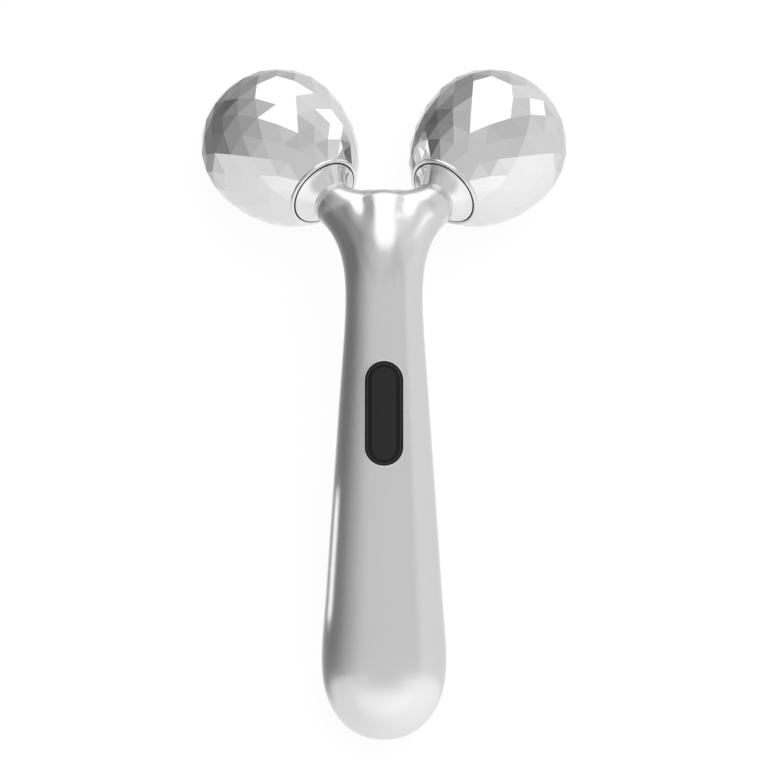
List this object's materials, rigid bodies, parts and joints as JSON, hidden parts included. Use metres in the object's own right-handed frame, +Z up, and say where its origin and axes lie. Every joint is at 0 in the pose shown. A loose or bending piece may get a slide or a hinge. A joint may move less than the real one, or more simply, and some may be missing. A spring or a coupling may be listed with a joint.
{
  "type": "facial toning roller",
  "caption": "Y-shaped hand-held facial toning roller with faceted metal balls that spin freely on leaning shafts, and a solar cell under a dark pill-shaped window in its satin grip.",
  "frame": {"origin": "middle of the bounding box on the table, with the roller lying in its own rest pose", "axes": "+Z up from the table, +Y from the butt of the grip towards the balls, +X to the right when the face with the window is seen from above with the balls at the top"},
  "size_m": [0.087, 0.1604, 0.0442],
  "materials": {
    "satin_metal": "satin, fine matt grain",
    "collar_metal": "bright satin chrome",
    "facet_metal": "mirror bright plating",
    "smoked_glass": "polished, deep smoke",
    "gasket_rubber": "matt black",
    "cell_dark": "dark blue-black solar cell",
    "board_green": "printed board",
    "resin_grey": "moulded resin",
    "resin_white": "bearing resin",
    "steel": "turned steel",
    "screw_steel": "plated steel",
    "contact_brass": "spring brass",
    "lead_red": "insulated lead",
    "lead_black": "insulated lead"
  },
  "bodies": {
    "handle": {"upper_shell": "satin_metal", "lower_shell": "satin_metal", "window_lens": "smoked_glass", "lens_gasket": "gasket_rubber", "solar_cell": "cell_dark", "cell_board": "board_green", "board_screws": "screw_steel", "chassis": "resin_grey", "chassis_screws": "screw_steel", "yoke": "steel", "yoke_screws": "screw_steel", "lead_positive": "lead_red", "lead_negative": "lead_black", "shell_contact": "contact_brass", "collar_left": "collar_metal", "insulator_left": "resin_white", "shaft_left": "steel", "retaining_ring_left": "steel", "collar_right": "collar_metal", "insulator_right": "resin_white", "shaft_right": "steel", "retaining_ring_right": "steel"},
    "ball_left": {"ball_skin_left": "facet_metal", "ball_core_left": "resin_grey", "core_cap_left": "resin_grey", "bush_left": "resin_white"},
    "ball_right": {"ball_skin_right": "facet_metal", "ball_core_right": "resin_grey", "core_cap_right": "resin_grey", "bush_right": "resin_white"}
  },
  "joints": [
    {"name": "ball_left_spin", "type": "hinge", "parent": "handle", "child": "ball_left", "pos_m": [-0.02611, 0.06303, 0.01774], "axis": [-0.5592, 0.7137, -0.4218], "continuous": true},
    {"name": "ball_right_spin", "type": "hinge", "parent": "handle", "child": "ball_right", "pos_m": [0.02611, 0.06303, 0.01774], "axis": [0.5592, 0.7137, -0.4218], "continuous": true}
  ]
}
